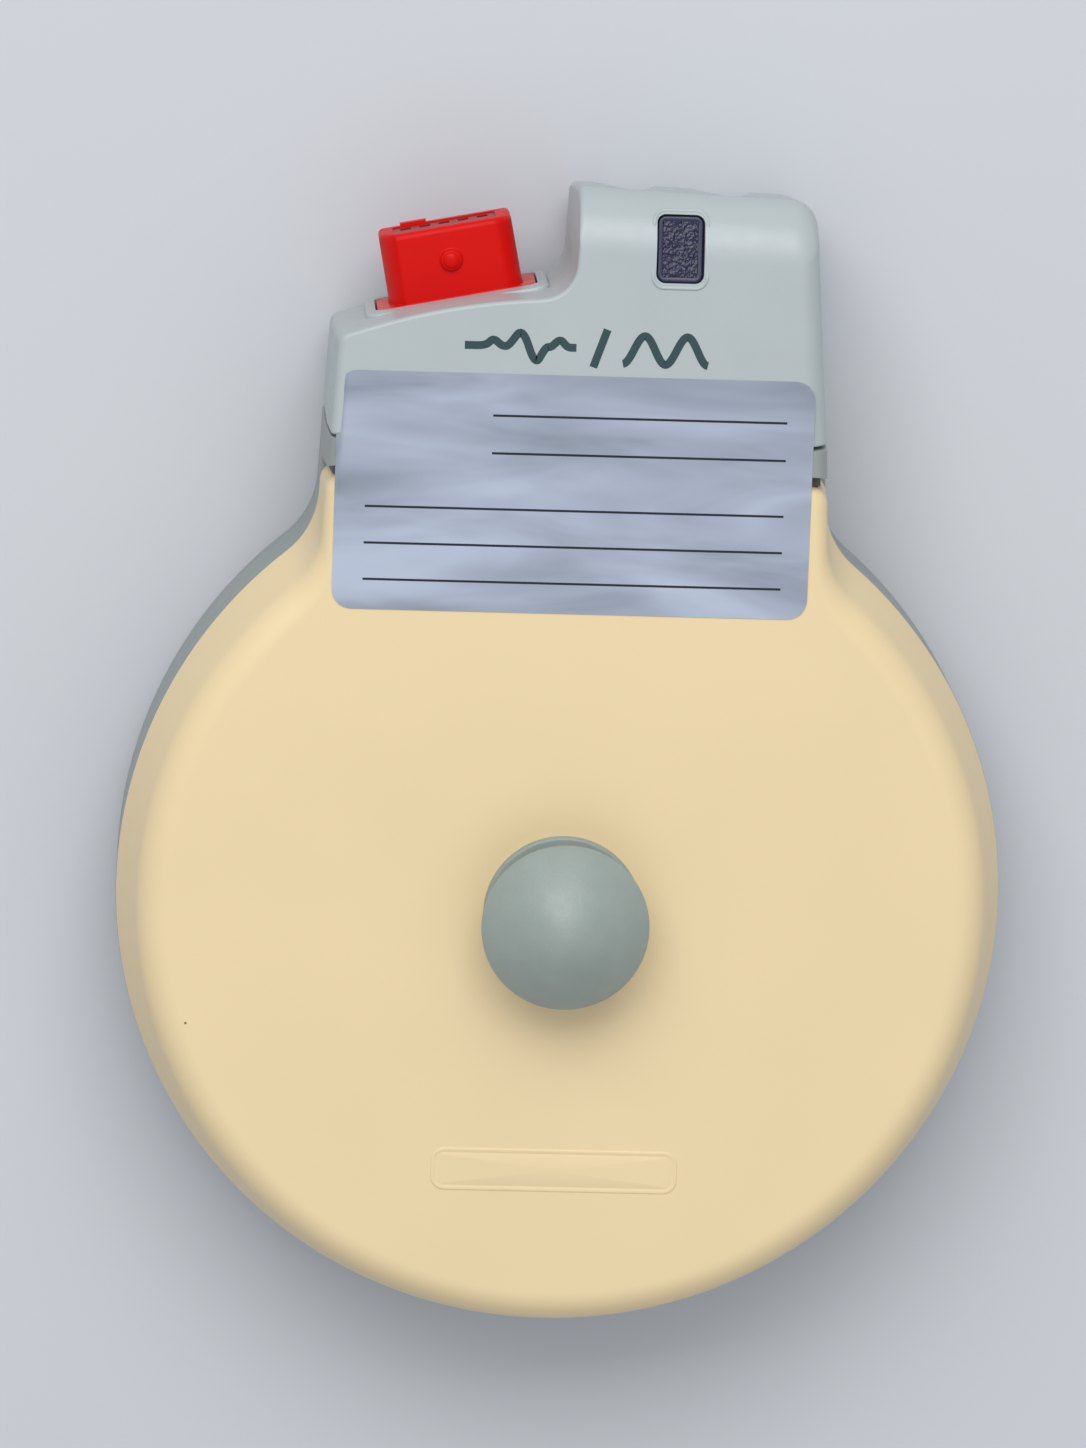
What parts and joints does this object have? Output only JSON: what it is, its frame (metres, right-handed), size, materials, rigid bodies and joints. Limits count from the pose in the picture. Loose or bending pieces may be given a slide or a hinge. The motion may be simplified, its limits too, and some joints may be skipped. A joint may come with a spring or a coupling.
{
  "type": "fetal monitor transducer",
  "caption": "Round belt-worn fetal monitoring transducer with a swivelling belt button, a necked head with a tilted patient socket and a finder lamp.",
  "frame": {"origin": "centre of the round case on its flat back face", "axes": "+Z out of the front face along the belt button's axis, +Y from the round case towards the head, +X to the right when the front is seen with the head up"},
  "size_m": [0.083, 0.109, 0.0325],
  "materials": {
    "shell_grey": "satin",
    "cover_cream": "satin",
    "head_grey": "satin",
    "seal_olive": "matte",
    "button_grey": "fine grain",
    "steel": "brushed",
    "rubber_black": "matte",
    "socket_red": "satin",
    "flange_red": "satin",
    "insert_red": "matte",
    "contact_gold": "polished",
    "flex_amber": "satin",
    "lens_navy": "fine texture",
    "guide_clear": "clear",
    "led_white": "gloss",
    "board_green": "satin",
    "shield_tin": "satin",
    "chip_black": "matte",
    "cell_blue": "satin",
    "tray_dark": "matte",
    "aerial_copper": "satin",
    "label_silver": "satin foil"
  },
  "bodies": {
    "housing": {"rear_shell": "shell_grey", "front_cover": "cover_cream", "head_cap": "head_grey", "neck_seal": "seal_olive", "rim_seal": "seal_olive", "button_collar": "button_grey", "button_o_ring": "rubber_black", "socket_body": "socket_red", "socket_flange": "flange_red", "socket_gasket": "rubber_black", "socket_insert": "insert_red", "socket_contacts": "contact_gold", "socket_flex": "flex_amber", "finder_lens": "lens_navy", "light_guide": "guide_clear", "finder_led": "led_white", "led_board": "board_green", "main_board": "board_green", "board_screws": "steel", "radio_shield": "shield_tin", "board_chips": "chip_black", "flex_header": "chip_black", "battery_cell": "cell_blue", "battery_tray": "tray_dark", "battery_clip": "steel", "antenna": "aerial_copper", "cover_screws": "steel", "head_screws": "steel", "thread_inserts": "contact_gold", "blank_label": "label_silver"},
    "button": {"belt_button": "button_grey", "button_screw": "steel", "button_washer": "steel"}
  },
  "joints": [
    {"name": "button_swivel", "type": "hinge", "parent": "housing", "child": "button", "pos_m": [0, 0, 0.018], "axis": [0, 0, 1], "continuous": true}
  ]
}
